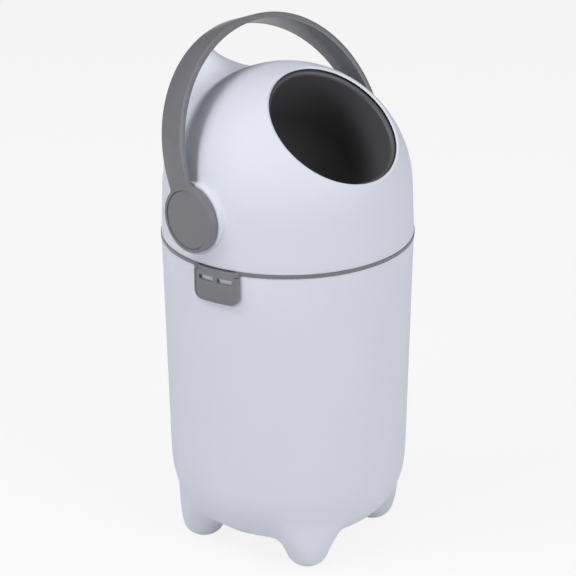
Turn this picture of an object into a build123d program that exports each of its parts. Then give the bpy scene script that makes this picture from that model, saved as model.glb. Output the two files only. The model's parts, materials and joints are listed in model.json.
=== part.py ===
from build123d import *
from math import acos, atan2, cos, degrees, hypot, radians, sin, sqrt, tan
import os

# A nappy bin: a tapered body on four moulded feet, and a domed hood that hinges on it.
# Inside the hood a ball-shaped drum with a bowl in it turns over when the big handle is swung
# from the back to the front, and drops what lies in the bowl into the bag below.
#
# Frame: the floor is z = 0, under the middle of the body. The opening faces -Y, and the drum
# turns about an axis along X. Round the body, an angle is counted from the front towards -X.
# All lengths are in millimetres and all angles in degrees.

# ---- Body ------------------------------------------------------------------------------------
SEAM_RADIUS = 130.0        # outside of body and hood where they meet
BODY_HEIGHT = 337.8        # floor to the top of the rim
BODY_WALL = 2.8
UNDERSIDE_HEIGHT = 22.0    # floor to the flat underside between the feet
UNDERSIDE_RADIUS = 122.5   # where the leaning side would meet the underside
BASE_CURVE = 72.0          # radius of the turned-in base
FOOT_INSET = 29.5          # from the underside's edge in to the circle that the feet stand on
FOOT_RADIUS = 25.5
FOOT_FLAT = 11.0           # radius of the flat that each foot stands on
FOOT_BLEND = 9.0           # hollow curve between foot and body
FOOT_COUNT = 4
FOOT_ANGLE = 32.5          # angle of the first foot

# ---- Seam, ring and seals --------------------------------------------------------------------
SEAM_GAP = 0.3             # air between the body's rim and the hood's ring
RING_HEIGHT = 3.5
RING_PROUD = 0.7           # how far the ring stands out of the body
SEAL_WIDTH = 4.0
SEAL_GAP = 0.5             # air between a seal and the drum
SEAL_REBATE = 1.2          # depth of the step that holds a seal
RING_SCREW_ANGLE = 32.5
RING_SCREW_COUNT = 4
RING_SCREW_BOSS = 4.0      # radius of the boss above each screw
RING_SCREW_BITE = 1.0      # how far each boss is sunk into the hood's wall
RING_SCREW_DEPTH = 10.0

# ---- Hood ------------------------------------------------------------------------------------
PIVOT_RISE = 46.4          # hood's lower edge to the drum's axis, which is the dome's centre too
HOOD_DRAFT = 1.8           # how much narrower the hood is at the axis than at the seam
HOOD_WALL = 2.4
OPENING_RADIUS = 70.7
OPENING_TILT = 39.0        # the opening's axis, from straight up towards the front
OPENING_ROUND = 2.6        # rounded edge of the opening
SIDE_BOSS_RADIUS = 36.0    # flat round bosses behind the handle's ends
CREST_SET_BACK = 123.0     # crest's peak behind the axis
CREST_PEAK = 121.0         # crest's peak above the axis
CREST_SPREAD = 150.0       # radius of the crest's bell at the height of the axis
# Radius of the bell, and its drop from the peak there
CREST_FALL = ((14.0, 7.0), (30.0, 18.0), (50.0, 27.5), (75.0, 35.0), (100.0, 47.5), (128.0, 75.0))
CREST_ENDS = ((1, 0), (0.35, -1))  # directions in which the bell leaves its peak and meets its edge
CREST_ROOT = 25.0          # how far its back wall reaches below the axis
CREST_STEP = 0.8           # foot of the crest's back wall outside the dome
CREST_DRAFT = 3.0          # how far its back wall leans in
CREST_BLEND = 25.0         # hollow curve between crest and dome

# ---- Hinge at one side, latch at the other ---------------------------------------------------
LATCH_ANGLE = 77.5
HINGE_REACH = 5.3          # hinge axis outside the body
HINGE_KNUCKLE = 3.9        # radius of the knuckles
HINGE_PIN_RADIUS = 1.6
HINGE_LEAF = 15.0          # length of the middle knuckle
HINGE_WIDTH = 32.0         # over all three knuckles
HINGE_WEB = 15.0           # height of the webs that carry the body's knuckles
LATCH_GAP = 0.4            # air between the latch and the body
LATCH_TOP_GAP = 0.8        # air between the latch and the hood
LATCH_POCKET = 4.0         # depth of the gap in the ring where the latch sits
LATCH_WIDTH = 53.0
LATCH_DROP = 35.3          # latch's top to its bottom edge
LATCH_THICKNESS = 3.8
LATCH_CORNER = 9.0
LATCH_ROUND = 1.0
LATCH_EAR = 4.4            # width of each of the ring's ears that hold the latch
LATCH_PIN_RADIUS = 0.9
LATCH_PIN_LENGTH = 7.6
SLOT_WIDTH = 17.5
SLOT_HEIGHT = 5.5
SLOT_SPACING = 22.2        # middle of one slot to middle of the other
SLOT_DROP = 11.3           # latch's top to the middle of the slots

# ---- Bag ring --------------------------------------------------------------------------------
BAG_RING_DEPTH = 3.8       # below the body's rim
BAG_RING_HEIGHT = 19.0
BAG_RING_WALL = 2.5
BAG_LIP = 7.0              # height of its turned-down inner lip
BAG_LIP_BACK = 2.0         # its inner edge outside the lower seal's
LEDGE_WIDTH = 5.0
LEDGE_HEIGHT = 3.0

# ---- Drum ------------------------------------------------------------------------------------
DRUM_CLEARANCE = 1.4       # between the drum and the inside of the dome
DRUM_WALL = 2.5
DRUM_SPLIT = 37.0          # plane where the drum's two halves meet, from the axis
DRUM_FLAT = 5.8            # depth of the flat on each side
DRUM_PAD = 6.0             # thickness behind each flat, where the hub's screws hold
BOWL_RADIUS = 67.0
BOWL_DEPTH = 36.0          # bottom of the bowl below the axis, measured square to the mouth
BOWL_LIP = 4.0             # rounded lip of the mouth
DRUM_SCREW_CIRCLE = 99.0
DRUM_SCREW_COUNT = 4
DRUM_SCREW_BOSS = 4.5
DRUM_SCREW_LENGTH = 14.0
WELL_FLOOR = 4.0           # what the drum screws clamp

# ---- Hubs, bushes and handle -----------------------------------------------------------------
HUB_RADIUS = 10.0
HUB_FLANGE_RADIUS = 26.0
HUB_FLANGE = 5.0
HUB_SQUARE = 13.0
HUB_SCREW_CIRCLE = 19.0
HUB_SCREW_COUNT = 3
HUB_SCREW_LENGTH = 10.0
HUB_SPIGOT_RADIUS = 8.0
HUB_SPIGOT = 3.0
THRUST_GAP = 0.5
BUSH_FLANGE = 3.0
BUSH_FLANGE_RADIUS = 18.0
BUSH_WALL = 3.0
HANDLE_GAP = 0.5           # air between the hood's boss and the handle
HANDLE_FLOOR = 4.5         # handle's disc under the cap
HANDLE_DISC = 9.5          # whole thickness of the disc
HANDLE_DISC_RADIUS = 34.0
HANDLE_THICKNESS = 6.4
HANDLE_RISE = 38.6         # straight part of the handle's sides, above the axis
HANDLE_BASE_WIDTH = 24.7
HANDLE_TOP_WIDTH = 36.6
HANDLE_TILT = 21.3         # how far it leans back at rest
HANDLE_ROUND = 1.2         # rounded outer edges
CAP_RADIUS = 30.0
CAP_INSET = 0.8            # cap's face below the disc's face
CAP_FACE = 1.8
CAP_RIM = 2.0
CAP_GROOVE = 0.35          # groove round the cap
CAP_ROUND = 0.6
HANDLE_SCREW_RADIUS = 2.0
HANDLE_SCREW_HEAD = 8.0
HANDLE_SCREW_HEAD_HEIGHT = 2.0
HANDLE_SCREW_LENGTH = 14.0
HANDLE_CORNER = 6.0        # hollow corner where the handle meets its disc

# ---- Clearances and small screws -------------------------------------------------------------
RUN_FIT = 0.06             # round a shaft that turns
SLIP_FIT = 0.15            # round a piece that is pushed in
SCREW_RADIUS = 1.5
SCREW_HEAD_RADIUS = 3.0
SCREW_HEAD_HEIGHT = 1.6
SCREW_ROOM = 1.0           # a blind hole past its screw's tip
MARGIN = 5.0               # how far a cutter runs past what it cuts
EDGE_ROUND = 0.8           # rounded edges of body and hood at the seam

# ---- Worked out from the sizes above ---------------------------------------------------------
RING_BOTTOM = BODY_HEIGHT + SEAM_GAP
HOOD_BOTTOM = RING_BOTTOM + RING_HEIGHT
PIVOT_Z = HOOD_BOTTOM + PIVOT_RISE
DOME_RADIUS = SEAM_RADIUS - HOOD_DRAFT
# How far the hood's side leans, in radians, so that it meets the dome without a crease
HOOD_LEAN = acos(DOME_RADIUS / hypot(SEAM_RADIUS, PIVOT_RISE)) - atan2(PIVOT_RISE, SEAM_RADIUS)
DRUM_RADIUS = DOME_RADIUS - HOOD_WALL - DRUM_CLEARANCE
RING_RADIUS = SEAM_RADIUS + RING_PROUD
SEAL_INNER = sqrt(DRUM_RADIUS ** 2 - PIVOT_RISE ** 2) + SEAL_GAP
RING_INNER = SEAL_INNER + SEAL_WIDTH

FLAT_X = DRUM_RADIUS - DRUM_FLAT
HUB_X = FLAT_X + HUB_FLANGE
BUSH_X = HUB_X + THRUST_GAP
WALL_X = BUSH_X + BUSH_FLANGE
BOSS_X = WALL_X + HOOD_WALL
DISC_X = BOSS_X + HANDLE_GAP
FLOOR_X = DISC_X + HANDLE_FLOOR
FACE_X = DISC_X + HANDLE_DISC
CAP_X = FACE_X - CAP_INSET

SCREW_POST_RADIUS = SEAM_RADIUS - HOOD_WALL - RING_SCREW_BOSS + RING_SCREW_BITE
LATCH_INNER = SEAM_RADIUS + LATCH_GAP
LATCH_OUTER = LATCH_INNER + LATCH_THICKNESS
LATCH_TOP = HOOD_BOTTOM - LATCH_TOP_GAP
LATCH_AXIS_Z = LATCH_TOP - LATCH_THICKNESS / 2
# Depth of the notches that let the latch turn past the ears' square corners
LATCH_NOTCH = LATCH_THICKNESS / 2 * (1 + sqrt(2)) + SEAM_GAP
LATCH_PIN_OFFSET = LATCH_WIDTH / 2 - LATCH_EAR
LATCH_AXIS_REACH = sqrt((LATCH_INNER + LATCH_THICKNESS / 2) ** 2 - LATCH_PIN_OFFSET ** 2)

PIVOT = Pos(0, 0, PIVOT_Z)
OPENING = PIVOT * Rot(OPENING_TILT, 0, 0)
SIDES = {"left": -1, "right": 1}


# ---- Helpers ---------------------------------------------------------------------------------
def facing(angle):
    """Turn about Z that carries +X to the given angle round the body."""
    return Rot(0, 0, 270 - angle)


def sideways(sign):
    """Turn that carries +Z to one side."""
    return Rot(0, 90 * sign, 0)


def along(sign):
    """Frame on the drum's axis whose +Z runs out towards one side."""
    return PIVOT * sideways(sign)


def lathe(*outline):
    """Solid turned about Z from the corners of its section, each a radius and a height."""
    return revolve(Plane.XZ * make_face(Polyline(*outline, close=True)), Axis.Z)


def disc(radius, bottom, top):
    """Round plate or post about Z between two heights."""
    return Pos(0, 0, bottom) * Cylinder(radius, top - bottom, align=(Align.CENTER, Align.CENTER, Align.MIN))


def block(x, y, z):
    """Box between pairs of limits along X, Y and Z."""
    size = [b - a for a, b in (x, y, z)]
    middle = [(a + b) / 2 for a, b in (x, y, z)]
    return Pos(*middle) * Box(*size)


def round_about(count, start=0.0):
    """Turns about Z that spread a number of copies evenly."""
    return [Rot(0, 0, start + 360 * i / count) for i in range(count)]


def free_edges(solid):
    """Edges that are neither straight nor round, which are the creases where two forms meet."""
    return [e for e in solid.edges() if e.geom_type not in (GeomType.LINE, GeomType.CIRCLE)]


def round_edges(solid):
    """Round edges of a solid, from the lowest to the highest."""
    return solid.edges().filter_by(GeomType.CIRCLE).sort_by(Axis.Z)


def screw(length, head_radius=SCREW_HEAD_RADIUS, head_height=SCREW_HEAD_HEIGHT, radius=SCREW_RADIUS):
    """Screw along +Z with the top of its head at zero."""
    return disc(head_radius, -head_height, 0) + disc(radius, -length, -head_height)


def mouth_form(ball, hole, rounding, bottom):
    """Cutter along Z for a round hole in a ball, which leaves the hole's outer edge rounded."""
    across = hole + rounding
    height = sqrt((ball - rounding) ** 2 - across ** 2)
    slope = degrees(atan2(height, across))
    reach = (ball + MARGIN) / (ball - rounding)
    arc = CenterArc((across, height), rounding, slope, 180 - slope)
    top = ball + MARGIN
    rest = Polyline((hole, height), (hole, bottom), (0, bottom), (0, top), (across * reach, top),
                    (across * reach, height * reach), arc @ 0)
    return revolve(Plane.XZ * make_face(arc + rest), Axis.Z)


# ---- Body ------------------------------------------------------------------------------------
def body_form(inset, top):
    """The body without its feet, or its inside when it is inset by the wall."""
    low = UNDERSIDE_HEIGHT + inset
    lean = (SEAM_RADIUS - UNDERSIDE_RADIUS) / (BODY_HEIGHT - UNDERSIDE_HEIGHT)
    foot = (UNDERSIDE_RADIUS - inset + lean * inset, low)
    rim = (SEAM_RADIUS - inset + lean * (top - BODY_HEIGHT), top)
    side = FilletPolyline((0, low), foot, rim, radius=BASE_CURVE - inset)
    section = make_face(side + Polyline(rim, (0, top), (0, low)))
    return revolve(Plane.XZ * section, Axis.Z)


def foot_form(inset):
    """A foot: a round post with a ball end that is cut flat where it stands."""
    centre = sqrt(FOOT_RADIUS ** 2 - FOOT_FLAT ** 2)
    radius = FOOT_RADIUS - inset
    flat = sqrt(radius ** 2 - (centre - inset) ** 2)
    start = degrees(atan2(inset - centre, flat))
    top = UNDERSIDE_HEIGHT + BASE_CURVE
    ball = CenterArc((0, centre), radius, start, -start)
    rest = Polyline((radius, centre), (radius, top), (0, top), (0, inset), (flat, inset))
    return revolve(Plane.XZ * make_face(ball + rest), Axis.Z)


def feet(inset):
    """All feet in their places."""
    foot = Pos(UNDERSIDE_RADIUS - FOOT_INSET, 0, 0) * foot_form(inset)
    return [turn * foot for turn in round_about(FOOT_COUNT, 270 - FOOT_ANGLE)]


def inner_radius(z):
    """Radius of the inside of the body at a height above its base curve."""
    lean = (SEAM_RADIUS - UNDERSIDE_RADIUS) / (BODY_HEIGHT - UNDERSIDE_HEIGHT)
    return SEAM_RADIUS - BODY_WALL - lean * (BODY_HEIGHT - z)


def hinge_axis():
    """Frame of the hinge, its Z along the pin and its X pointing out of the body."""
    middle = Pos(SEAM_RADIUS + HINGE_REACH, 0, RING_BOTTOM + RING_HEIGHT / 2)
    return facing(LATCH_ANGLE + 180) * middle * Rot(90, 0, 0)


def body_knuckles():
    """The two outer knuckles of the hinge on their webs."""
    wall = -HINGE_REACH - BODY_WALL / 2
    drop = BODY_HEIGHT - (RING_BOTTOM + RING_HEIGHT / 2)
    corners = (wall, drop), (-HINGE_KNUCKLE, drop), (0, -HINGE_KNUCKLE), (wall, -HINGE_WEB)
    web = make_face(Polyline(*corners, close=True))
    barrel = Circle(HINGE_KNUCKLE) + web - Circle(HINGE_PIN_RADIUS + RUN_FIT)
    middle = HINGE_LEAF / 2 + SEAM_GAP
    length = HINGE_WIDTH / 2 - middle
    knuckle = extrude(barrel, length)
    return [hinge_axis() * Pos(0, 0, z) * knuckle for z in (middle, -middle - length)]


def bin_body():
    """Body shell with its moulded feet, the ledge for the bag ring and the hinge's outer knuckles."""
    outside = body_form(0, BODY_HEIGHT)
    for foot in feet(0):
        outside += foot
    outside = fillet(free_edges(outside), FOOT_BLEND)
    outside = fillet(round_edges(outside)[-1], EDGE_ROUND)
    inside = body_form(BODY_WALL, BODY_HEIGHT + MARGIN)
    for foot in feet(BODY_WALL):
        inside += foot
    top = BODY_HEIGHT - BAG_RING_DEPTH - BAG_RING_HEIGHT
    wall = inner_radius(top) + BODY_WALL / 2
    edge = inner_radius(top) - LEDGE_WIDTH
    low = top - LEDGE_HEIGHT
    ledge = lathe((wall, top), (edge, top), (edge, low), (wall, low - LEDGE_WIDTH))
    body = outside - inside + ledge
    for knuckle in body_knuckles():
        body += knuckle
    return body


def bag_ring():
    """Ring that rests on the ledge and clamps the bag, with a turned-down inner lip."""
    top = BODY_HEIGHT - BAG_RING_DEPTH
    bottom = top - BAG_RING_HEIGHT
    outer = min(inner_radius(bottom), inner_radius(top)) - SLIP_FIT
    inner = SEAL_INNER + BAG_LIP_BACK
    lip = top - BAG_LIP
    w = BAG_RING_WALL
    return lathe((outer, bottom), (outer, top), (inner, top), (inner, lip), (inner + w, lip),
                 (inner + w, top - w), (outer - w, top - w), (outer - w, bottom))


def hinge_pin():
    """Pin through the three knuckles."""
    return hinge_axis() * Cylinder(HINGE_PIN_RADIUS, HINGE_WIDTH)


# ---- Hood ------------------------------------------------------------------------------------
def crest_form(inset):
    """The bell that the crest is cut from, or its inside when it is inset by the wall."""
    spread = CREST_SPREAD - inset
    peak = CREST_PEAK - inset
    points = [(r * spread / CREST_SPREAD, peak * (1 - fall / CREST_PEAK)) for r, fall in CREST_FALL]
    slope = Spline((0, peak), *points, (spread, 0), tangents=CREST_ENDS)
    rest = Polyline((spread, 0), (spread, -CREST_ROOT), (0, -CREST_ROOT), (0, peak))
    bell = revolve(Plane.XZ * make_face(slope + rest), Axis.Z)
    return PIVOT * Pos(0, CREST_SET_BACK, 0) * Rot(0, 0, 90) * bell


def valley(crown):
    """The crease between crest and dome."""
    edges = [e for e in free_edges(crown) if e.center().Z > PIVOT_Z and e.center().Y < CREST_SET_BACK]
    return max(edges, key=lambda e: e.length)


def hood_form(inset, bottom):
    """Outside of the hood without its bosses, or its inside when it is inset by the wall."""
    radius = DOME_RADIUS - inset
    crown = PIVOT * Sphere(radius) + crest_form(inset)
    if inset == 0:
        crown = fillet(valley(crown), CREST_BLEND)
    foot, height = radius + CREST_STEP, CREST_ROOT + CREST_PEAK + MARGIN
    lean = height * tan(radians(CREST_DRAFT))
    low, high = PIVOT_Z - CREST_ROOT, PIVOT_Z - CREST_ROOT + height
    crown &= lathe((0, low), (foot, low), (foot - lean, high), (0, high)) + PIVOT * Sphere(radius)
    crown &= disc(foot, low, high)
    across, rise = radius * cos(HOOD_LEAN), radius * sin(HOOD_LEAN)
    spread = across + (PIVOT_Z + rise - bottom) * tan(HOOD_LEAN)
    side = lathe((0, bottom), (spread, bottom), (across, PIVOT_Z + rise), (0, PIVOT_Z + rise))
    if inset == 0:
        side = fillet(round_edges(side)[0], EDGE_ROUND)
    return crown + side


def screw_post(radius, bottom, top):
    """Posts above the ring's screws."""
    turns = round_about(RING_SCREW_COUNT, 270 - RING_SCREW_ANGLE)
    return [turn * Pos(SCREW_POST_RADIUS, 0, 0) * disc(radius, bottom, top) for turn in turns]


def hood_shell():
    """Domed hood with its crest, the round opening, side bosses and the posts for the ring's screws."""
    shell = hood_form(0, HOOD_BOTTOM)
    for sign in SIDES.values():
        shell += along(sign) * disc(SIDE_BOSS_RADIUS, 0, BOSS_X)
    shell -= hood_form(HOOD_WALL, HOOD_BOTTOM - MARGIN)
    for sign in SIDES.values():
        shell -= along(sign) * disc(SIDE_BOSS_RADIUS - HOOD_WALL, 0, WALL_X)
        shell -= along(sign) * disc(HUB_RADIUS + BUSH_WALL + SLIP_FIT, 0, BOSS_X + MARGIN)
    shell -= OPENING * mouth_form(DOME_RADIUS, OPENING_RADIUS, OPENING_ROUND, 0)
    for post in screw_post(RING_SCREW_BOSS, HOOD_BOTTOM, HOOD_BOTTOM + RING_SCREW_DEPTH):
        shell += post
    for hole in screw_post(SCREW_RADIUS, HOOD_BOTTOM - MARGIN, HOOD_BOTTOM + RING_SCREW_DEPTH - SCREW_RADIUS):
        shell -= hole
    return shell


def hood_knuckle():
    """Middle knuckle of the hinge, on a web that joins the ring."""
    length = HINGE_REACH + RING_PROUD
    web = Pos(-length / 2, 0) * Rectangle(length, RING_HEIGHT)
    barrel = Circle(HINGE_KNUCKLE) + web - Circle(HINGE_PIN_RADIUS + RUN_FIT)
    return hinge_axis() * extrude(barrel, HINGE_LEAF / 2, both=True)


def latch_zone(inner, outer, start, end, bottom, top):
    """Piece of a round wall at the latch, between two radii, two widths from its middle, and two heights."""
    wall = disc(outer, bottom, top) - disc(inner, bottom - MARGIN, top + MARGIN)
    return wall & facing(LATCH_ANGLE) * block((0, outer + MARGIN), (start, end), (bottom, top))


def hood_ring():
    """Ring screwed under the hood, with a gap and two ears for the latch and the hinge's middle knuckle."""
    rebate, step = RING_INNER + SEAL_REBATE, HOOD_BOTTOM - SEAL_REBATE
    ring = lathe((RING_INNER, RING_BOTTOM), (RING_RADIUS, RING_BOTTOM), (RING_RADIUS, HOOD_BOTTOM),
                 (rebate, HOOD_BOTTOM), (rebate, step), (RING_INNER, step))
    half = LATCH_WIDTH / 2
    for start, end in ((half - LATCH_EAR, half), (-half, LATCH_EAR - half)):
        ring += latch_zone(LATCH_INNER, LATCH_OUTER, start, end, LATCH_TOP - LATCH_THICKNESS, LATCH_TOP)
        ring += latch_zone(SEAM_RADIUS - HOOD_WALL, LATCH_OUTER, start, end, RING_BOTTOM, LATCH_TOP)
    inner = SEAM_RADIUS - LATCH_POCKET
    side = half - LATCH_EAR
    gap = block((inner, LATCH_OUTER), (-side, side), (RING_BOTTOM - MARGIN, HOOD_BOTTOM + MARGIN))
    ring -= facing(LATCH_ANGLE) * gap
    ring -= latch_pins_in_place(LATCH_PIN_RADIUS + RUN_FIT)
    for hole in screw_post(SCREW_RADIUS + SLIP_FIT, RING_BOTTOM - MARGIN, HOOD_BOTTOM + MARGIN):
        ring -= hole
    seat = RING_BOTTOM + SCREW_HEAD_HEIGHT
    for hole in screw_post(SCREW_HEAD_RADIUS + SLIP_FIT, RING_BOTTOM - MARGIN, seat):
        ring -= hole
    return ring + hood_knuckle()


def ring_screws():
    """Screws that hold the ring to the hood's posts."""
    turns = round_about(RING_SCREW_COUNT, 270 - RING_SCREW_ANGLE)
    one = Rot(180, 0, 0) * screw(RING_SCREW_DEPTH)
    return Compound([turn * Pos(SCREW_POST_RADIUS, 0, RING_BOTTOM) * one for turn in turns])


def opening_seal():
    """Soft band inside the hood round the opening, which wipes the drum."""
    band = Sphere(DOME_RADIUS - HOOD_WALL - RUN_FIT) - Sphere(DRUM_RADIUS + SEAL_GAP)
    reach = OPENING_RADIUS + SLIP_FIT
    return OPENING * (band & (disc(reach + SEAL_WIDTH, 0, DOME_RADIUS) - disc(reach, 0, DOME_RADIUS)))


def lower_seal():
    """Soft lip inside the ring, which wipes the drum."""
    step = HOOD_BOTTOM - SEAL_REBATE
    outer = RING_INNER - RUN_FIT
    tongue = RING_INNER + SEAL_REBATE - RUN_FIT
    low = RING_BOTTOM + SEAL_REBATE / 2
    return lathe((SEAL_INNER, low), (outer, low), (outer, step), (tongue, step), (tongue, HOOD_BOTTOM),
                 (SEAL_INNER, HOOD_BOTTOM))


def pivot_bush(sign):
    """Flanged bush in the hood's side that the drum's hub turns in."""
    bush = disc(BUSH_FLANGE_RADIUS, BUSH_X, WALL_X) + disc(HUB_RADIUS + BUSH_WALL, WALL_X, BOSS_X)
    return along(sign) * (bush - disc(HUB_RADIUS + RUN_FIT, BUSH_X - MARGIN, BOSS_X + MARGIN))


# ---- Latch -----------------------------------------------------------------------------------
def latch_pins_in_place(radius):
    """Two short pins in line, one at each top corner of the latch."""
    pin = Rot(90, 0, 0) * Cylinder(radius, LATCH_PIN_LENGTH)
    places = [Pos(LATCH_AXIS_REACH, y, LATCH_AXIS_Z) for y in (LATCH_PIN_OFFSET, -LATCH_PIN_OFFSET)]
    return Compound([facing(LATCH_ANGLE) * place * pin for place in places])


def latch_pins():
    """The pins that the latch swings on."""
    return latch_pins_in_place(LATCH_PIN_RADIUS)


def latch_tab():
    """Curved tab over the seam, with two slots, rounded lower corners and notches for the ring's ears."""
    half = LATCH_WIDTH / 2
    notch = LATCH_EAR + SEAM_GAP
    plate = Pos(0, -LATCH_DROP / 2) * Rectangle(LATCH_WIDTH, LATCH_DROP)
    plate = fillet(plate.vertices().group_by(Axis.Y)[0], LATCH_CORNER)
    for side in (-1, 1):
        plate -= Pos(side * (half - notch / 2), 0) * Rectangle(notch, 2 * LATCH_NOTCH)
        slot = fillet(Rectangle(SLOT_WIDTH, SLOT_HEIGHT).vertices(), LATCH_ROUND)
        plate -= Pos(side * SLOT_SPACING / 2, -SLOT_DROP) * slot
    plane = Plane(origin=(0, 0, LATCH_TOP), x_dir=(0, 1, 0), z_dir=(1, 0, 0))
    prism = facing(LATCH_ANGLE) * extrude(plane * plate, LATCH_OUTER + MARGIN)
    tab = prism & (disc(LATCH_OUTER, 0, LATCH_TOP) - disc(LATCH_INNER, -MARGIN, LATCH_TOP + MARGIN))
    face = max(tab.faces().filter_by(GeomType.CYLINDER), key=lambda f: f.area)
    tab = fillet(face.outer_wire().edges(), LATCH_ROUND)
    return tab - latch_pins_in_place(LATCH_PIN_RADIUS + RUN_FIT)


# ---- Drum ------------------------------------------------------------------------------------
def bowl_form(grow, top):
    """The bowl's hollow, or its outside when it is grown by the wall: a post with a ball end."""
    centre = BOWL_RADIUS - BOWL_DEPTH
    radius = BOWL_RADIUS + grow
    arc = CenterArc((0, centre), radius, -90, 90)
    rest = Polyline((radius, centre), (radius, top), (0, top), (0, centre - radius))
    return revolve(Plane.XZ * make_face(arc + rest), Axis.Z)


def drum_turns():
    """Turns about the mouth's axis for the drum's screws."""
    return round_about(DRUM_SCREW_COUNT, 180 / DRUM_SCREW_COUNT)


def drum_bowl():
    """Front of the drum: the bowl, its rounded mouth and the ball's skin round it."""
    above = disc(DRUM_RADIUS + MARGIN, DRUM_SPLIT, DRUM_RADIUS + MARGIN)
    ball = Sphere(DRUM_RADIUS)
    front = (ball - Sphere(DRUM_RADIUS - DRUM_WALL)) & above
    front += bowl_form(DRUM_WALL, DRUM_RADIUS) & ball
    middle = BOWL_RADIUS - BOWL_DEPTH
    front -= bowl_form(0, middle + MARGIN)
    front -= mouth_form(DRUM_RADIUS, BOWL_RADIUS, BOWL_LIP, middle)
    inner = Sphere(DRUM_RADIUS - DRUM_WALL / 2)
    for turn in drum_turns():
        post = disc(DRUM_SCREW_BOSS, DRUM_SPLIT, DRUM_RADIUS) & Pos(-DRUM_SCREW_CIRCLE, 0, 0) * inner
        hole = disc(SCREW_RADIUS, DRUM_SPLIT - MARGIN, DRUM_SPLIT + DRUM_SCREW_LENGTH - WELL_FLOOR)
        front += turn * Pos(DRUM_SCREW_CIRCLE, 0, 0) * post
        front -= turn * Pos(DRUM_SCREW_CIRCLE, 0, 0) * hole
    return OPENING * front


def drum_back_shell():
    """Back of the drum: the rest of the ball, with flats for the hubs and wells for the screws."""
    reach = DRUM_RADIUS + MARGIN
    clear = SCREW_HEAD_RADIUS + SLIP_FIT
    places = [turn * Pos(DRUM_SCREW_CIRCLE, 0, 0) for turn in drum_turns()]
    back = Sphere(DRUM_RADIUS) & block((-FLAT_X, FLAT_X), (-reach, reach), (-reach, DRUM_SPLIT))
    pad = FLAT_X - DRUM_PAD
    hollow = Sphere(DRUM_RADIUS - DRUM_WALL) & block((-pad, pad), (-reach, reach), (-reach, reach))
    for place in places:
        hollow -= place * disc(clear + DRUM_WALL, -reach, reach)
    back -= hollow
    for place in places:
        back -= place * disc(clear, -reach, DRUM_SPLIT - WELL_FLOOR)
        back -= place * disc(SCREW_RADIUS + SLIP_FIT, 0, DRUM_SPLIT + MARGIN)
    back = OPENING * back
    for sign in SIDES.values():
        depth = HUB_SPIGOT + SLIP_FIT
        back -= along(sign) * disc(HUB_SPIGOT_RADIUS + SLIP_FIT, FLAT_X - depth, FLAT_X + MARGIN)
        for turn in round_about(HUB_SCREW_COUNT):
            hole = disc(SCREW_RADIUS, HUB_X - HUB_SCREW_LENGTH - SLIP_FIT, FLAT_X + MARGIN)
            back -= along(sign) * turn * Pos(HUB_SCREW_CIRCLE, 0, 0) * hole
    return back


def drum_screws():
    """Screws up the wells, which hold the two halves of the drum together."""
    seat = DRUM_SPLIT - WELL_FLOOR - SCREW_HEAD_HEIGHT
    one = Rot(180, 0, 0) * screw(DRUM_SCREW_LENGTH + SCREW_HEAD_HEIGHT)
    return Compound([OPENING * turn * Pos(DRUM_SCREW_CIRCLE, 0, seat) * one for turn in drum_turns()])


def drum_hub(sign):
    """Flanged stub that the drum turns on, with a square end for the handle."""
    hub = disc(HUB_FLANGE_RADIUS, FLAT_X, HUB_X) + disc(HUB_RADIUS, HUB_X, DISC_X)
    hub += disc(HUB_SPIGOT_RADIUS, FLAT_X - HUB_SPIGOT, FLAT_X)
    hub += block((-HUB_SQUARE / 2, HUB_SQUARE / 2), (-HUB_SQUARE / 2, HUB_SQUARE / 2), (DISC_X, FLOOR_X))
    end = FLOOR_X + HANDLE_SCREW_HEAD_HEIGHT - HANDLE_SCREW_LENGTH
    hub -= disc(HANDLE_SCREW_RADIUS, end - SCREW_ROOM, FLOOR_X + MARGIN)
    for turn in round_about(HUB_SCREW_COUNT):
        place = turn * Pos(HUB_SCREW_CIRCLE, 0, 0)
        hub -= place * disc(SCREW_RADIUS + SLIP_FIT, FLAT_X - MARGIN, HUB_X + MARGIN)
        hub -= place * disc(SCREW_HEAD_RADIUS + SLIP_FIT, HUB_X - SCREW_HEAD_HEIGHT, HUB_X + MARGIN)
    return along(sign) * hub


def hub_screws():
    """Screws that hold both hubs to the drum's flats."""
    one = Pos(HUB_SCREW_CIRCLE, 0, HUB_X) * screw(HUB_SCREW_LENGTH)
    turns = round_about(HUB_SCREW_COUNT)
    return Compound([along(sign) * turn * one for sign in SIDES.values() for turn in turns])


# ---- Handle ----------------------------------------------------------------------------------
def arch_form(radius):
    """Outline of the handle seen from the front, filled, with straight sides up to a half circle."""
    arc = ThreePointArc((-radius, HANDLE_RISE), (0, HANDLE_RISE + radius), (radius, HANDLE_RISE))
    low = -HANDLE_DISC_RADIUS - MARGIN
    rest = Polyline((radius, HANDLE_RISE), (radius, low), (-radius, low), (-radius, HANDLE_RISE))
    return make_face(arc + rest)


def handle_side():
    """The handle seen from the side: a leg that widens to the top, run into the disc at its end."""
    top = HANDLE_RISE + FACE_X + MARGIN
    base = HANDLE_BASE_WIDTH / 2
    tip = base + (HANDLE_TOP_WIDTH - HANDLE_BASE_WIDTH) / 2 * top / (top - MARGIN)
    leg = make_face(Polyline((-base, 0), (base, 0), (tip, top), (-tip, top), close=True))
    side = leg + Circle(HANDLE_DISC_RADIUS)
    corners = [v for v in side.vertices() if 0 < v.Y < top - MARGIN]
    return fillet(corners, HANDLE_CORNER)


def on_outer_face(edge):
    """Whether an edge of the handle runs round its outer face, not across it."""
    reaches = [hypot(p.X, max(p.Z - HANDLE_RISE, 0)) for p in (edge @ 0.1, edge @ 0.5, edge @ 0.9)]
    across = edge.geom_type == GeomType.LINE and abs((edge % 0.5).Z) < RUN_FIT
    return min(reaches) > FACE_X - RUN_FIT and not across


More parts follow.
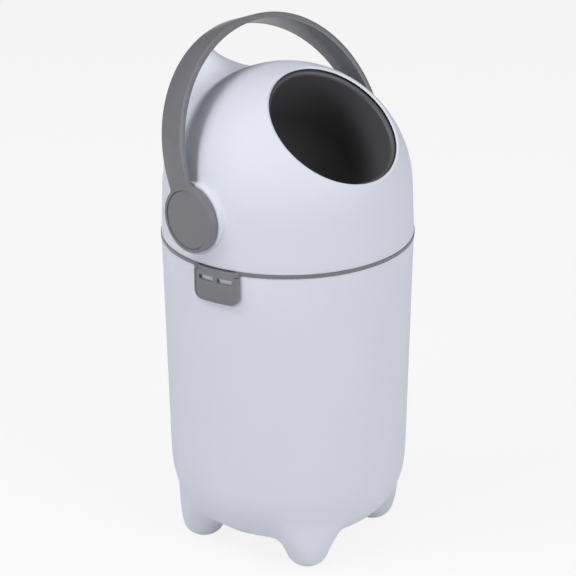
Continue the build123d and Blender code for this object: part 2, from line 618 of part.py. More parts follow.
def handle():
    """Arched handle with a disc at each end, which is keyed to the drum's hubs."""
    arch = arch_form(FACE_X) - arch_form(FACE_X - HANDLE_THICKNESS)
    hand = extrude(Plane.XZ * arch, HANDLE_DISC_RADIUS + MARGIN, both=True)
    hand &= extrude(Plane.YZ * handle_side(), FACE_X + MARGIN, both=True)
    hand = fillet(hand.edges().filter_by(on_outer_face), HANDLE_ROUND)
    for sign in SIDES.values():
        hand += sideways(sign) * disc(HANDLE_DISC_RADIUS, DISC_X, FACE_X - HANDLE_THICKNESS)
    hand = PIVOT * Rot(-HANDLE_TILT, 0, 0) * hand
    for sign in SIDES.values():
        key = HUB_SQUARE / 2 + RUN_FIT
        hand -= along(sign) * disc(CAP_RADIUS + CAP_GROOVE, FLOOR_X, FACE_X + MARGIN)
        hand -= along(sign) * block((-key, key), (-key, key), (DISC_X - MARGIN, FACE_X))
    return hand


def hub_cap(sign):
    """Cup-shaped cap pressed into the handle's disc over the screw."""
    cap = disc(CAP_RADIUS, FLOOR_X, CAP_X)
    cap = fillet(cap.edges().filter_by(GeomType.CIRCLE).sort_by(Axis.Z)[-1], CAP_ROUND)
    return along(sign) * (cap - disc(CAP_RADIUS - CAP_RIM, FLOOR_X - MARGIN, CAP_X - CAP_FACE))


def handle_screw(sign):
    """Wide-headed screw that holds the handle on its hub."""
    one = screw(HANDLE_SCREW_LENGTH, HANDLE_SCREW_HEAD, HANDLE_SCREW_HEAD_HEIGHT, HANDLE_SCREW_RADIUS)
    return along(sign) * Pos(0, 0, FLOOR_X + HANDLE_SCREW_HEAD_HEIGHT) * one


NODES = {
    "bin_body": bin_body,
    "bag_ring": bag_ring,
    "hinge_pin": hinge_pin,
    "hood_shell": hood_shell,
    "hood_ring": hood_ring,
    "ring_screws": ring_screws,
    "opening_seal": opening_seal,
    "lower_seal": lower_seal,
    "latch_tab": latch_tab,
    "latch_pins": latch_pins,
    "drum_bowl": drum_bowl,
    "drum_back_shell": drum_back_shell,
    "drum_screws": drum_screws,
    "hub_screws": hub_screws,
    "handle": handle,
}
SIDED_NODES = {
    "pivot_bush": pivot_bush,
    "drum_hub": drum_hub,
    "hub_cap": hub_cap,
    "handle_screw": handle_screw,
}

if __name__ == "__main__":
    os.makedirs("parts", exist_ok=True)
    for name, make in NODES.items():
        export_step(make(), f"parts/{name}.step")
    for name, make in SIDED_NODES.items():
        for side, sign in SIDES.items():
            export_step(make(sign), f"parts/{name}_{side}.step")
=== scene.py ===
"""Nappy bin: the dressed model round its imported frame, with its studio and camera.

The frame's solids are read first. Every piece that shows is then modelled or refined over its own
solid, given a moulded, soft or metal finish, and set to ride on the body that carries it.
Lengths are in metres. The floor is z = 0, the opening faces -Y and the drum turns about X.
"""
from __future__ import annotations

import json
import logging
import math
from contextlib import contextmanager
from dataclasses import dataclass, field
from enum import Enum
from typing import Callable, Iterator

import bpy
from mathutils import Matrix, Quaternion, Vector

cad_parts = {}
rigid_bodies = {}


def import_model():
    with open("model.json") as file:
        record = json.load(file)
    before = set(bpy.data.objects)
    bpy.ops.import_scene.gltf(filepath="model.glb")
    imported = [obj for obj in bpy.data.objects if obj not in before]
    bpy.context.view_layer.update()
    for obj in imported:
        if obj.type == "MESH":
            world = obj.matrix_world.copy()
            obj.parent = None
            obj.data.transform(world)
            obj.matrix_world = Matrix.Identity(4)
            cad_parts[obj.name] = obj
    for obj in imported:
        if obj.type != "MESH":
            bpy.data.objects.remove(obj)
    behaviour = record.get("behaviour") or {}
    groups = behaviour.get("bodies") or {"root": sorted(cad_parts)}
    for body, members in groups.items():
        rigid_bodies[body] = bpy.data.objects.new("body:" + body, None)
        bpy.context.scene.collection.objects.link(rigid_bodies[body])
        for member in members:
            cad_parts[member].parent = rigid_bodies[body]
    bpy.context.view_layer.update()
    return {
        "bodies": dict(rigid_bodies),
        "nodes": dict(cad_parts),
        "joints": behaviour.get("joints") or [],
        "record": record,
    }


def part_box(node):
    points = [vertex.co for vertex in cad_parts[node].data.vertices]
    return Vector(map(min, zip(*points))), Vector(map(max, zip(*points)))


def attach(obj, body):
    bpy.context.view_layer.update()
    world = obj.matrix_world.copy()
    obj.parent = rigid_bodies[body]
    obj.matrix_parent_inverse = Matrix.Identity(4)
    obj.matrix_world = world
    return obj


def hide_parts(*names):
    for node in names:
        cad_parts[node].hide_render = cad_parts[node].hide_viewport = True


LOG = logging.getLogger("nappy_bin")
MM = 0.001


class Pick(Enum):
    """What is picked while a mesh is open for editing."""

    POINTS = "VERT"
    EDGES = "EDGE"
    FACES = "FACE"


class Body(Enum):
    """The moving bodies of the frame."""

    BASE = "base"
    HOOD = "hood"
    LATCH = "latch"
    DRUM = "drum"


# ---- Workshop: what every piece is shaped with ------------------------------------------------


def choose(obj: bpy.types.Object) -> None:
    """Selects one object alone and makes it the active one."""
    bpy.ops.object.select_all(action="DESELECT")
    obj.select_set(True)
    bpy.context.view_layer.objects.active = obj


@contextmanager
def editing(obj: bpy.types.Object, pick: Pick = Pick.FACES) -> Iterator[bpy.types.Object]:
    """Opens a mesh for editing with nothing picked, and closes it again.

    Args:
        obj: The object whose mesh is edited.
        pick: Whether points, edges or faces are picked.

    Returns:
        The same object, open until the block ends.
    """
    choose(obj)
    bpy.ops.object.mode_set(mode="EDIT")
    bpy.ops.mesh.select_mode(type=pick.value)
    bpy.ops.mesh.select_all(action="DESELECT")
    yield obj
    bpy.ops.object.mode_set(mode="OBJECT")


def shade(obj: bpy.types.Object, angle: float = 32.0) -> None:
    """Shades a mesh smooth, apart from edges sharper than an angle in degrees."""
    choose(obj)
    bpy.ops.object.shade_smooth_by_angle(angle=math.radians(angle))


def modify(obj: bpy.types.Object, kind: str, **settings: object) -> None:
    """Adds a modifier to an object and applies it.

    Args:
        obj: The object that the modifier shapes.
        kind: The modifier's type.
        **settings: The modifier's values by name.
    """
    choose(obj)
    modifier = obj.modifiers.new(kind.lower(), kind)
    for name, value in settings.items():
        setattr(modifier, name, value)
    bpy.ops.object.modifier_apply(modifier=modifier.name)


def arc(middle: tuple[float, float], radius: float, start: float, end: float, steps: int) -> list[tuple[float, float]]:
    """Gives the points of an arc in a section, counted in degrees from straight out to straight up."""
    turns = [math.radians(start + (end - start) * i / steps) for i in range(steps + 1)]
    return [(middle[0] + radius * math.cos(t), middle[1] + radius * math.sin(t)) for t in turns]


def turned(name: str, section: list[tuple[float, float]], steps: int = 96) -> bpy.types.Object:
    """Turns a section about Z into a skin.

    Args:
        name: The new object's name.
        section: Points of the section, each a radius and a height in metres.
        steps: How many flats go round.

    Returns:
        The new object, at the origin.
    """
    mesh = bpy.data.meshes.new(name)
    mesh.from_pydata([(r, 0, z) for r, z in section], [(i, i + 1) for i in range(len(section) - 1)], [])
    obj = bpy.data.objects.new(name, mesh)
    bpy.context.scene.collection.objects.link(obj)
    modify(obj, "SCREW", angle=math.tau, steps=steps, render_steps=steps, use_merge_vertices=True,
           merge_threshold=1e-6, use_normal_calculate=True)
    with editing(obj):
        bpy.ops.mesh.select_all(action="SELECT")
        bpy.ops.mesh.remove_doubles(threshold=1e-6)
        bpy.ops.mesh.normals_make_consistent(inside=False)
    return obj


def joined(name: str, pieces: list[bpy.types.Object]) -> bpy.types.Object:
    """Joins pieces into the first of them and renames it."""
    choose(pieces[0])
    for piece in pieces[1:]:
        piece.select_set(True)
    bpy.ops.object.join()
    pieces[0].name = name
    return pieces[0]


def cut_level(obj: bpy.types.Object, height: float, above: bool) -> None:
    """Cuts a mesh at a height and drops what lies above or below."""
    with editing(obj):
        bpy.ops.mesh.select_all(action="SELECT")
        bpy.ops.mesh.bisect(plane_co=(0, 0, height), plane_no=(0, 0, 1), clear_outer=above, clear_inner=not above)


def weigh(obj: bpy.types.Object, name: str, rule: Callable[[Vector], float]) -> None:
    """Adds a vertex group whose weights a rule gives from each point's place."""
    group = obj.vertex_groups.new(name=name)
    for vertex in obj.data.vertices:
        group.add([vertex.index], rule(vertex.co), "REPLACE")


def fade(value: float, low: float, high: float) -> float:
    """Gives 0 at the low end, 1 at the high end and a smooth curve between."""
    t = min(1.0, max(0.0, (value - low) / (high - low)))
    return t * t * (3 - 2 * t)


# ---- Finishes ------------------------------------------------------------------------------------


class Nodes:
    """A node tree that is filled one node at a time."""

    def __init__(self, tree: bpy.types.NodeTree) -> None:
        """Starts on an empty tree."""
        self.tree = tree
        tree.nodes.clear()

    def add(self, kind: str, inputs: dict[str | int, object] | None = None, **values: object) -> bpy.types.Node:
        """Adds a node, sets its values and fills its sockets.

        Args:
            kind: The node's type name.
            inputs: Socket names or numbers, each with a value or an output to link.
            **values: The node's own settings.

        Returns:
            The new node.
        """
        node = self.tree.nodes.new(kind)
        for name, value in values.items():
            setattr(node, name, value)
        for name, value in (inputs or {}).items():
            if isinstance(value, bpy.types.NodeSocket):
                self.tree.links.new(value, node.inputs[name])
            else:
                node.inputs[name].default_value = value
        return node

    def sum(self, operation: str, first: object, second: object) -> bpy.types.NodeSocket:
        """Works one number out of two, and gives the output."""
        return self.add("ShaderNodeMath", {0: first, 1: second}, operation=operation).outputs[0]

    def ramp(self, value: object, low: float, high: float, start: float, end: float) -> bpy.types.NodeSocket:
        """Maps a number from one range to another, held at both ends, and gives the output."""
        fill = {"Value": value, "From Min": low, "From Max": high, "To Min": start, "To Max": end}
        return self.add("ShaderNodeMapRange", fill).outputs[0]

    def noise(self, scale: object, detail: float, place: object) -> bpy.types.NodeSocket:
        """Adds a cloudy pattern at a place and gives its value."""
        fill = {"Vector": place, "Scale": scale, "Detail": detail, "Roughness": 0.55}
        return self.add("ShaderNodeTexNoise", fill).outputs[0]


class Effects:
    """The shared surface effects, each a node group that is built once."""

    @staticmethod
    def group(name: str, inputs: dict[str, float], outputs: tuple[str, ...]) -> bpy.types.NodeTree:
        """Makes an empty node group with number sockets.

        Args:
            name: The group's name.
            inputs: The input sockets and their first values.
            outputs: The output sockets' names.

        Returns:
            The new group.
        """
        tree = bpy.data.node_groups.new(name, "ShaderNodeTree")
        for socket, value in inputs.items():
            tree.interface.new_socket(socket, in_out="INPUT", socket_type="NodeSocketFloat").default_value = value
        for socket in outputs:
            tree.interface.new_socket(socket, in_out="OUTPUT", socket_type="NodeSocketFloat")
        return tree

    @classmethod
    def find(cls, name: str) -> bpy.types.NodeTree:
        """Gives a shared effect by name, and builds it the first time."""
        return bpy.data.node_groups.get(name) or getattr(cls, name)()

    @classmethod
    def mould_grain(cls) -> bpy.types.NodeTree:
        """Builds the fine grain of a mould: a height, and a slow change of tone."""
        tree = cls.group("mould_grain", {"Size": 0.0006, "Depth": 1.0}, ("Height", "Tone"))
        nodes = Nodes(tree)
        given = nodes.add("NodeGroupInput").outputs
        place = nodes.add("ShaderNodeTexCoord").outputs["Object"]
        scale = nodes.sum("DIVIDE", 1.0, given["Size"])
        fine = nodes.noise(scale, 2.0, place)
        coarse = nodes.noise(nodes.sum("MULTIPLY", scale, 0.31), 3.0, place)
        height = nodes.sum("MULTIPLY", nodes.sum("ADD", fine, coarse), given["Depth"])
        flow = nodes.noise(9.0, 3.0, place)
        nodes.add("NodeGroupOutput", {"Height": height, "Tone": nodes.ramp(flow, 0.3, 0.7, 0.0, 1.0)})
        return tree

    @classmethod
    def handling(cls) -> bpy.types.NodeTree:
        """Builds the marks of use: smudges from hands, and hairline scratches."""
        tree = cls.group("handling", {"Amount": 0.5}, ("Smudge", "Scratch"))
        nodes = Nodes(tree)
        given = nodes.add("NodeGroupInput").outputs
        place = nodes.add("ShaderNodeTexCoord").outputs["Object"]
        cloud = nodes.ramp(nodes.noise(24.0, 4.0, place), 0.52, 0.72, 0.0, 1.0)
        broken = nodes.ramp(nodes.noise(140.0, 2.0, place), 0.45, 0.65, 0.0, 1.0)
        smudge = nodes.sum("MULTIPLY", nodes.sum("MULTIPLY", cloud, broken), given["Amount"])
        stretched = nodes.add("ShaderNodeMapping", {"Vector": place, "Rotation": (0.3, 0.2, 0.9), "Scale": (1, 14, 1)})
        lines = nodes.noise(60.0, 5.0, stretched.outputs[0])
        hair = nodes.ramp(lines, 0.695, 0.72, 0.0, 1.0)
        scratch = nodes.sum("MULTIPLY", nodes.sum("MULTIPLY", hair, cloud), given["Amount"])
        nodes.add("NodeGroupOutput", {"Smudge": smudge, "Scratch": scratch})
        return tree

    @classmethod
    def settled_dust(cls) -> bpy.types.NodeTree:
        """Builds a thin dust on what faces up, and more of it in corners."""
        tree = cls.group("settled_dust", {"Amount": 0.3}, ("Dust",))
        nodes = Nodes(tree)
        given = nodes.add("NodeGroupInput").outputs
        place = nodes.add("ShaderNodeTexCoord").outputs["Object"]
        geometry = nodes.add("ShaderNodeNewGeometry")
        up = nodes.add("ShaderNodeSeparateXYZ", {0: geometry.outputs["Normal"]}).outputs["Z"]
        facing = nodes.ramp(up, 0.35, 1.0, 0.0, 1.0)
        corner = nodes.ramp(geometry.outputs["Pointiness"], 0.43, 0.5, 1.0, 0.0)
        specks = nodes.ramp(nodes.noise(900.0, 2.0, place), 0.5, 0.75, 0.0, 1.0)
        lying = nodes.sum("MULTIPLY", facing, specks)
        dust = nodes.sum("MAXIMUM", lying, nodes.sum("MULTIPLY", corner, 0.5))
        nodes.add("NodeGroupOutput", {"Dust": nodes.sum("MULTIPLY", dust, given["Amount"])})
        return tree

    @classmethod
    def edge_wear_and_highlight(cls) -> bpy.types.NodeTree:
        """Builds a mask of sharp edges: wear that hands and cloths have rubbed smooth, and a painted highlight along
        them.
        """
        tree = cls.group("edge_wear_and_highlight", {"Amount": 0.5}, ("Edge",))
        nodes = Nodes(tree)
        given = nodes.add("NodeGroupInput").outputs
        place = nodes.add("ShaderNodeTexCoord").outputs["Object"]
        sharp = nodes.ramp(nodes.add("ShaderNodeNewGeometry").outputs["Pointiness"], 0.51, 0.58, 0.0, 1.0)
        broken = nodes.ramp(nodes.noise(75.0, 3.0, place), 0.35, 0.6, 0.35, 1.0)
        edge = nodes.sum("MULTIPLY", nodes.sum("MULTIPLY", sharp, broken), given["Amount"])
        nodes.add("NodeGroupOutput", {"Edge": edge})
        return tree


@dataclass(frozen=True)
class Finish:
    """A moulded surface: its colour, sheen, grain and marks."""

    name: str
    slot: str
    colour: tuple[float, float, float]
    roughness: float
    specular: float = 0.5
    coat: float = 0.0
    grain: float = 0.0005
    depth: float = 1.0
    bump: float = 0.02
    tone: float = 0.03
    marks: float = 0.4
    dust: float = 0.1
    # How far sharp edges are lightened: partly rubbed wear, partly a painted highlight along them.
    wear_and_highlight: float = 0.3
    metallic: float = 0.0

    def effect(self, nodes: Nodes, name: str, **values: float) -> bpy.types.bpy_prop_collection:
        """Places a shared effect in a material and gives its outputs."""
        place = nodes.add("ShaderNodeGroup", node_tree=Effects.find(name))
        for socket, value in values.items():
            place.inputs[socket].default_value = value
        return place.outputs

    def grain_height(self, nodes: Nodes) -> tuple[bpy.types.NodeSocket, bpy.types.NodeSocket]:
        """Gives the height and the tone of the surface's own texture."""
        grain = self.effect(nodes, "mould_grain", Size=self.grain, Depth=self.depth)
        return grain["Height"], grain["Tone"]

    def material(self) -> bpy.types.Material:
        """Gives the finish's material, and builds it the first time.

        Returns:
            The material, shared by every piece of this finish.
        """
        made = bpy.data.materials.get(self.name)
        if made:
            return made
        made = bpy.data.materials.new(self.name)
        made.use_nodes = True
        made.diffuse_color = (*self.colour, 1.0)
        nodes = Nodes(made.node_tree)
        height, tone = self.grain_height(nodes)
        handled = self.effect(nodes, "handling", Amount=self.marks)
        dust = self.effect(nodes, "settled_dust", Amount=self.dust)["Dust"]
        # Sharp edges: wear, and a painted highlight along them.
        edge = self.effect(nodes, "edge_wear_and_highlight", Amount=self.wear_and_highlight)["Edge"]
        dark = tuple(c * (1 - self.tone) for c in self.colour) + (1.0,)
        light = tuple(min(1.0, c * (1 + self.tone)) for c in self.colour) + (1.0,)
        colour = self.mixed(nodes, tone, dark, light)
        # Edge colour, lighter than the base: rubbed wear and a painted highlight.
        edge_highlight_and_wear = tuple(min(1.0, c * 1.35 + 0.02) for c in self.colour) + (1.0,)
        colour = self.mixed(nodes, edge, colour, edge_highlight_and_wear)
        colour = self.mixed(nodes, dust, colour, (0.62, 0.60, 0.57, 1.0))
        rough = nodes.sum("ADD", self.roughness - 0.02, nodes.sum("MULTIPLY", tone, 0.04))
        rough = nodes.sum("ADD", rough, nodes.sum("MULTIPLY", handled["Smudge"], 0.12))
        rough = nodes.sum("ADD", rough, nodes.sum("MULTIPLY", dust, 0.25))
        rough = nodes.sum("SUBTRACT", rough, nodes.sum("MULTIPLY", edge, 0.08))
        relief = nodes.sum("SUBTRACT", height, handled["Scratch"])
        bump = nodes.add("ShaderNodeBump", {"Strength": self.bump, "Distance": 0.0004, "Height": relief})
        shader = nodes.add("ShaderNodeBsdfPrincipled", {
            "Base Color": colour, "Roughness": rough, "Normal": bump.outputs[0], "Metallic": self.metallic,
            "Specular IOR Level": self.specular, "Coat Weight": self.coat, "Coat Roughness": 0.16})
        nodes.add("ShaderNodeOutputMaterial", {"Surface": shader.outputs[0]})
        return made

    @staticmethod
    def mixed(nodes: Nodes, share: object, first: object, second: object) -> bpy.types.NodeSocket:
        """Mixes two colours by a share and gives the output."""
        mix = nodes.add("ShaderNodeMix", data_type="RGBA")
        for socket, value in ((0, share), (6, first), (7, second)):
            if isinstance(value, bpy.types.NodeSocket):
                nodes.tree.links.new(value, mix.inputs[socket])
            else:
                mix.inputs[socket].default_value = value
        return mix.outputs[2]


@dataclass(frozen=True)
class TurnedMetal(Finish):
    """A plated metal surface with the fine lines of turning and drawing."""

    def grain_height(self, nodes: Nodes) -> tuple[bpy.types.NodeSocket, bpy.types.NodeSocket]:
        """Gives the height and the tone of fine lines that run along the metal."""
        place = nodes.add("ShaderNodeTexCoord").outputs["Object"]
        along = nodes.add("ShaderNodeMapping", {"Vector": place, "Scale": (60, 60, 1500)}).outputs[0]
        lines = nodes.noise(1.0, 4.0, along)
        return nodes.sum("MULTIPLY", lines, self.depth), nodes.noise(40.0, 3.0, place)


# The edge lightening in these finishes is partly wear, partly a painted highlight along sharp edges.
WHITE = Finish("white_shell_plastic", "white_shell", (0.715, 0.737, 0.825), 0.55, coat=0.0, grain=0.0007,
               bump=0.035, tone=0.008, marks=0.35, dust=0.03, wear_and_highlight=0.05)
GREY = Finish("grey_satin_plastic", "grey_plastic", (0.177, 0.178, 0.194), 0.42, specular=0.40, coat=0.2, grain=0.0004,
              bump=0.06, tone=0.03, marks=0.5, dust=0.04, wear_and_highlight=0.3)
DARK = Finish("dark_drum_plastic", "dark_plastic", (0.086, 0.087, 0.092), 0.42, grain=0.0005, bump=0.06,
              tone=0.05, marks=0.7, dust=0.02, wear_and_highlight=0.0)
SEAL = Finish("soft_seal_rubber", "soft_seal", (0.030, 0.030, 0.032), 0.72, specular=0.35, grain=0.0003, bump=0.25,
              tone=0.08, marks=0.3, dust=0.12, wear_and_highlight=0.0)
BUSH = Finish("natural_bush_plastic", "bush_plastic", (0.62, 0.61, 0.57), 0.46, grain=0.0004, bump=0.08, tone=0.03,
              marks=0.3, dust=0.05, wear_and_highlight=0.1)
STEEL = TurnedMetal("plated_screw_steel", "screw_steel", (0.60, 0.60, 0.61), 0.30, grain=0.0004, bump=0.18,
                    tone=0.05, marks=0.5, dust=0.03, wear_and_highlight=0.3, metallic=1.0)


# ---- Sub-assemblies ------------------------------------------------------------------------------------


@dataclass
class SubAssembly:
    """Pieces that ride together on one body of the frame."""

    frame: dict
    body: Body = Body.BASE
    made: list[bpy.types.Object] = field(default_factory=list)

    def dress(self, obj: bpy.types.Object, finish: Finish, *replaced: str) -> bpy.types.Object:
        """Gives a finished piece its material and its body.

        Args:
            obj: The piece, with its place in its mesh.
            finish: The surface that the piece gets.
            *replaced: The frame's solids that the piece stands for.

        Returns:
            The same piece.
        """
        obj.data.materials.clear()
        obj.data.materials.append(finish.material())
        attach(obj, self.body.value)
        if replaced:
            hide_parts(*replaced)
        self.made.append(obj)
        LOG.info("%s: %d faces on %s", obj.name, len(obj.data.polygons), self.body.value)
        return obj

    def copied(self, node: str) -> bpy.types.Object:
        """Copies a solid of the frame and joins its loose faces."""
        source = self.frame["nodes"][node]
        obj = bpy.data.objects.new(f"{node}_moulding", source.data.copy())
        bpy.context.scene.collection.objects.link(obj)
        with editing(obj, Pick.POINTS):
            bpy.ops.mesh.select_all(action="SELECT")
            bpy.ops.mesh.remove_doubles(threshold=0.002 * MM)
        if obj.data.has_custom_normals:
            choose(obj)
            bpy.ops.mesh.customdata_custom_splitnormals_clear()
        return obj

    def refined(self, node: str, finish: Finish, edge: float = 0.35, angle: float = 38.0) -> bpy.types.Object:
        """Copies a solid, rounds its edges a little and shades it smooth.

        Args:
            node: The solid's name in the frame.
            finish: The surface that the piece gets.
            edge: Width of the rounding, in millimetres.
            angle: Edges sharper than this many degrees are rounded.

        Returns:
            The piece that stands for the solid.
        """
        obj = self.copied(node)
        if edge:
            modify(obj, "BEVEL", width=edge * MM, segments=2, limit_method="ANGLE", angle_limit=math.radians(angle),
                   use_clamp_overlap=True, harden_normals=False)
        shade(obj, angle)
        return self.dress(obj, finish, node)


@dataclass
class Base(SubAssembly):
    """The white body on its feet, and what stays with it when the hood opens."""

    rim_radius: float = 130.0 * MM
    low_radius: float = 122.5 * MM      # where the leaning side would meet the underside
    underside: float = 18.5 * MM
    curve: float = 72.0 * MM            # radius of the turned-in base
    wall: float = 2.8 * MM
    foot_circle: float = 92.5 * MM
    foot_tip: float = 24.5 * MM         # radius of the foot's rounded tip
    foot_flat: float = 5.0 * MM
    foot_spread: float = 24.0           # degrees that the foot's side leans out
    foot_reach: float = 117.0 * MM      # radius that the feet keep within
    foot_angle: float = 32.5
    feet: int = 4
    cut: float = 130.0 * MM             # where the lower shell takes over from the frame's solid
    lap: float = 3.0 * MM
    voxel: float = 2.0 * MM

    def build(self) -> None:
        """Builds the body, the bag ring and the hinge's pin."""
        self.dress(self.body_on_feet(), WHITE, "bin_body")
        self.refined("bag_ring", GREY)
        self.refined("hinge_pin", STEEL, 0.2)

    def body_on_feet(self) -> bpy.types.Object:
        """Joins the body's upper walls, from the frame, to a lower shell with softly blended feet."""
        walls = self.copied("bin_body")
        cut_level(walls, self.cut, above=False)
        modify(walls, "BEVEL", width=0.35 * MM, segments=2, limit_method="ANGLE", angle_limit=math.radians(38))
        shade(walls, 38)
        shell = self.lower_shell()
        shade(shell, 60)
        return joined("bin_body_moulding", [walls, shell])

    def base_section(self) -> list[tuple[float, float]]:
        """Gives the closed base's section: the flat underside, the turned-in curve and the leaning side."""
        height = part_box("bin_body")[1][2]
        lean = math.atan2(self.rim_radius - self.low_radius, height - self.underside)
        reach = self.curve / math.tan((math.pi / 2 + lean) / 2)
        start = self.low_radius - reach
        side = arc((start, self.underside + self.curve), self.curve, -90, math.degrees(-lean), 40)
        top = self.cut + 10 * self.lap
        rim = self.low_radius + (top - self.underside) * math.tan(lean)
        return [(0, self.underside)] + side + [(rim, top), (0, top)]

    def foot_section(self) -> list[tuple[float, float]]:
        """Gives a foot's section: a flat, a round tip and a side that leans out to the top."""
        middle = math.sqrt(self.foot_tip ** 2 - self.foot_flat ** 2)
        start = math.degrees(math.asin(-middle / self.foot_tip))
        tip = arc((0, middle), self.foot_tip, start, -self.foot_spread, 16)
        top = self.underside + 0.6 * self.curve
        spread = tip[-1][0] + (top - tip[-1][1]) * math.tan(math.radians(self.foot_spread))
        return [(0, 0)] + tip + [(spread, top), (0, top)]

    def foot_turns(self) -> list[float]:
        """Gives the angle about Z of each foot, in radians."""
        return [math.radians(270 - self.foot_angle + 360 * i / self.feet) for i in range(self.feet)]

    def lower_shell(self) -> bpy.types.Object:
        """Builds the turned-in base and its feet as one skin, and gives it the wall's thickness."""
        base = turned("base_form", self.base_section(), 192)
        keep = turned("foot_limit", [(0, -self.lap), (self.foot_reach, -self.lap), (self.foot_reach, self.cut),
                                     (0, self.cut)], 192)
        pieces = [base]
        for turn in self.foot_turns():
            foot = turned("foot_form", self.foot_section(), 64)
            foot.data.transform(Matrix.Rotation(turn, 4, "Z") @ Matrix.Translation((self.foot_circle, 0, 0)))
            modify(foot, "BOOLEAN", object=keep, operation="INTERSECT", solver="EXACT")
            pieces.append(foot)
        true_base = base.copy()
        true_base.data = base.data.copy()
        bpy.context.scene.collection.objects.link(true_base)
        shell = joined("lower_shell", pieces)
        modify(shell, "REMESH", mode="VOXEL", voxel_size=self.voxel)
        modify(shell, "SMOOTH", factor=0.5, iterations=3)
        axes = [Vector((math.cos(t), math.sin(t), 0)) * self.foot_circle for t in self.foot_turns()]

        def away(place: Vector) -> float:
            return min((place - axis).xy.length for axis in axes)

        weigh(shell, "blend", lambda p: (1 - fade(away(p), 0.056, 0.078)) * fade(p.z, 0.008, 0.022)
              * (1 - fade(p.z, 0.090, 0.120)))
        weigh(shell, "foot", lambda p: (1 - fade(away(p), 0.060, 0.078)) * (1 - fade(p.z, 0.100, 0.122)))
        modify(shell, "SMOOTH", factor=0.5, iterations=160, vertex_group="blend")
        modify(shell, "SHRINKWRAP", target=true_base, wrap_method="NEAREST_SURFACEPOINT", vertex_group="foot",
               invert_vertex_group=True)
        cut_level(shell, self.cut, above=True)
        modify(shell, "SOLIDIFY", thickness=self.wall - 0.1 * MM, offset=-1.0)
        for helper in (true_base, keep):
            bpy.data.objects.remove(helper)
        return shell


@dataclass
class Hood(SubAssembly):
    """The domed hood with its ring, seals, bushes and screws."""

    body: Body = Body.HOOD

    def build(self) -> None:
        """Builds the hood and every piece fixed to it."""
        self.refined("hood_shell", WHITE)
        self.refined("hood_ring", GREY, 0.3)
        for node in ("opening_seal", "lower_seal"):
            self.refined(node, SEAL)
        for node in ("pivot_bush_left", "pivot_bush_right"):
            self.refined(node, BUSH)
        for node in ("ring_screws", "latch_pins"):
            self.refined(node, STEEL, 0.2)


@dataclass
class Latch(SubAssembly):
    """The finger tab that holds the hood down."""

    body: Body = Body.LATCH
    rim: float = 1.8 * MM       # width of the raised rim down the tab's sides and along its foot
    sunk: float = 0.5 * MM      # how far the panel inside the rim lies below it
    width: float = 53.0 * MM
    corner: float = 9.0 * MM    # radius of the tab's lower corners
    reach: float = 6.0 * MM     # how far the panel's cutter reaches in and out

    def build(self) -> None:
        """Builds the tab with its panel sunk inside a raised rim."""
        tab = self.copied("latch_tab")
        panel = self.panel(max(vertex.co.xy.length for vertex in tab.data.vertices))
        modify(tab, "BOOLEAN", object=panel, operation="DIFFERENCE", solver="EXACT")
        bpy.data.objects.remove(panel)
        shade(tab, 35)
        self.dress(tab, GREY, "latch_tab")

    def panel(self, radius: float) -> bpy.types.Object:
        """Builds the cutter for the sunk panel: a round-cornered block with the tab's own bend inside it.

        Args:
            radius: Radius of the tab's outside about the bin's axis.

        Returns:
            The cutter, which runs out over the tab's top edge.
        """
        low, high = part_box("latch_tab")
        turn = math.atan2(low[1] + high[1], low[0] + high[0])
        foot, top = low[2] + self.rim, high[2] + self.reach
        bpy.ops.mesh.primitive_cube_add(size=1.0, location=(0, 0, 0))
        block = bpy.context.object
        block.data.transform(Matrix.Translation((radius, 0, (foot + top) / 2))
                             @ Matrix.Diagonal((2 * self.reach, self.width - 2 * self.rim, top - foot, 1)))
        points = block.data.vertices
        with editing(block, Pick.EDGES):
            bpy.ops.object.mode_set(mode="OBJECT")
            for edge in block.data.edges:
                a, b = (points[i].co for i in edge.vertices)
                edge.select = max(a.z, b.z) < (foot + top) / 2 and abs(a.y - b.y) < self.sunk
            bpy.ops.object.mode_set(mode="EDIT")
            bpy.ops.mesh.bevel(offset=self.corner - self.rim, segments=8, affect="EDGES")
        block.data.transform(Matrix.Rotation(turn, 4, "Z"))
        core_radius = radius - self.sunk
        core = turned("latch_core", [(0, foot - self.reach), (core_radius, foot - self.reach),
                                     (core_radius, top + self.reach), (0, top + self.reach)], 384)
        modify(block, "BOOLEAN", object=core, operation="DIFFERENCE", solver="EXACT")
        bpy.data.objects.remove(core)
        return block


@dataclass
class Drum(SubAssembly):
    """The ball that turns over, with its hubs, handle and caps."""

    body: Body = Body.DRUM

    def build(self) -> None:
        """Builds the two parts of the ball and all that turns with them."""
        for node in ("drum_bowl", "drum_back_shell"):
            self.refined(node, DARK)
        self.refined("handle", GREY, 0.9)
        for node in ("hub_cap_left", "hub_cap_right"):
            self.refined(node, GREY, 0.0)
        for node in ("drum_hub_left", "drum_hub_right"):
            self.refined(node, BUSH)
        for node in ("drum_screws", "hub_screws", "handle_screw_left", "handle_screw_right"):
            self.refined(node, STEEL, 0.2)


# ---- Studio -----------------------------------------------------------------------------------------------


@dataclass(frozen=True)
class Lamp:
    """A square soft lamp that looks at the middle of the bin."""

    name: str
    bearing: float      # degrees from the front towards -X
    height: float       # degrees above the horizon
    distance: float
    size: float
    power: float

    def build(self) -> None:
        """Adds the lamp to the scene."""
        a, e = math.radians(self.bearing), math.radians(self.height)
        away = Vector((-math.sin(a) * math.cos(e), -math.cos(a) * math.cos(e), math.sin(e)))
        bpy.ops.object.light_add(type="AREA", location=Vector((0, 0, 0.3)) + away * self.distance)
        lamp = bpy.context.object
        lamp.name = self.name
        lamp.rotation_mode = "QUATERNION"
        lamp.rotation_quaternion = away.to_track_quat("Z", "Y")
        lamp.data.shape = "SQUARE"
        lamp.data.size = self.size
        lamp.data.energy = self.power


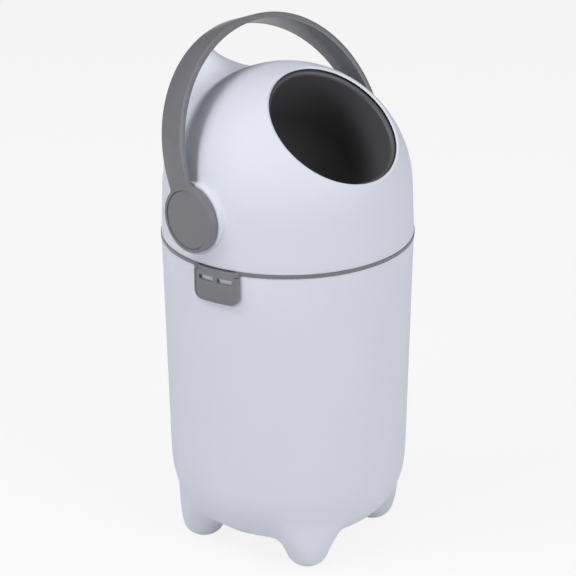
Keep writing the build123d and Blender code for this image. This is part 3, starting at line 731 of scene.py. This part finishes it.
@dataclass
class Studio:
    """The floor, the lamps, the world and the camera."""

    lamps: tuple[Lamp, ...] = (
        Lamp("key_lamp", 88.0, 24.0, 2.6, 0.55, 18.5),
        Lamp("side_lamp", 115.0, 50.0, 3.0, 1.2, 28.0),
        Lamp("front_lamp", 5.0, 30.0, 3.0, 1.6, 25.0),
        Lamp("right_lamp", -22.0, 15.0, 3.0, 1.6, 20.0),
        Lamp("top_lamp", 20.0, 85.0, 2.6, 1.6, 14.5),
    )
    ambient: float = 0.12
    lens: float = 169.0
    spot: tuple[float, float, float] = (-1.8214, -1.8554, 1.3480)
    bearing: float = 44.47
    pitch: float = 22.43
    roll: float = -0.22

    def build(self) -> None:
        """Builds the whole studio."""
        self.floor()
        self.world()
        for lamp in self.lamps:
            lamp.build()
        self.camera()
        bpy.context.scene.view_settings.view_transform = "Standard"

    def floor(self) -> None:
        """Adds the plain pale floor, which keeps the bin's shadow and looks nearly white."""
        bpy.ops.mesh.primitive_plane_add(size=24.0, location=(0, 0, 0))
        floor = bpy.context.object
        floor.name = "studio_floor"
        material = bpy.data.materials.new("pale_floor")
        material.use_nodes = True
        nodes = Nodes(material.node_tree)
        plain = nodes.add("ShaderNodeBsdfDiffuse", {"Color": (0.78, 0.78, 0.79, 1.0)})
        white = nodes.add("ShaderNodeEmission", {"Color": (1, 1, 1, 1), "Strength": 1.0})
        rays = nodes.add("ShaderNodeLightPath").outputs
        seen = nodes.sum("MAXIMUM", rays["Is Camera Ray"], rays["Is Glossy Ray"])
        share = nodes.sum("MULTIPLY", seen, 0.86)
        mix = nodes.add("ShaderNodeMixShader", {0: share, 1: plain.outputs[0], 2: white.outputs[0]})
        nodes.add("ShaderNodeOutputMaterial", {"Surface": mix.outputs[0]})
        floor.data.materials.append(material)

    def world(self) -> None:
        """Sets an even pale light all round, and a white background."""
        world = bpy.data.worlds.new("studio_world")
        bpy.context.scene.world = world
        world.use_nodes = True
        nodes = Nodes(world.node_tree)
        rays = nodes.add("ShaderNodeLightPath").outputs
        seen = nodes.sum("MAXIMUM", rays["Is Camera Ray"], rays["Is Transmission Ray"])
        strength = nodes.ramp(seen, 0.0, 1.0, self.ambient, 1.0)
        glow = nodes.add("ShaderNodeBackground", {"Color": (1, 1, 1, 1), "Strength": strength})
        nodes.add("ShaderNodeOutputWorld", {"Surface": glow.outputs[0]})

    def camera(self) -> None:
        """Adds the camera where the photograph was taken from."""
        a, p = math.radians(self.bearing), math.radians(self.pitch)
        forward = Vector((math.sin(a) * math.cos(p), math.cos(a) * math.cos(p), -math.sin(p)))
        bpy.ops.object.camera_add(location=self.spot)
        camera = bpy.context.object
        camera.name = "photo_camera"
        camera.rotation_mode = "QUATERNION"
        turn = Quaternion((0, 0, 1), math.radians(self.roll))
        camera.rotation_quaternion = forward.to_track_quat("-Z", "Y") @ turn
        camera.data.lens = self.lens
        camera.data.sensor_width = 36.0
        bpy.context.scene.camera = camera


def main() -> None:
    """Builds the bin round its frame, then the studio."""
    logging.basicConfig(level=logging.INFO, format="%(message)s")
    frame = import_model()
    for assembly in (Base(frame), Hood(frame), Latch(frame), Drum(frame)):
        assembly.build()
        LOG.info("%s: %d pieces", assembly.body.value, len(assembly.made))
    Studio().build()


if __name__ == "__main__":
    main()
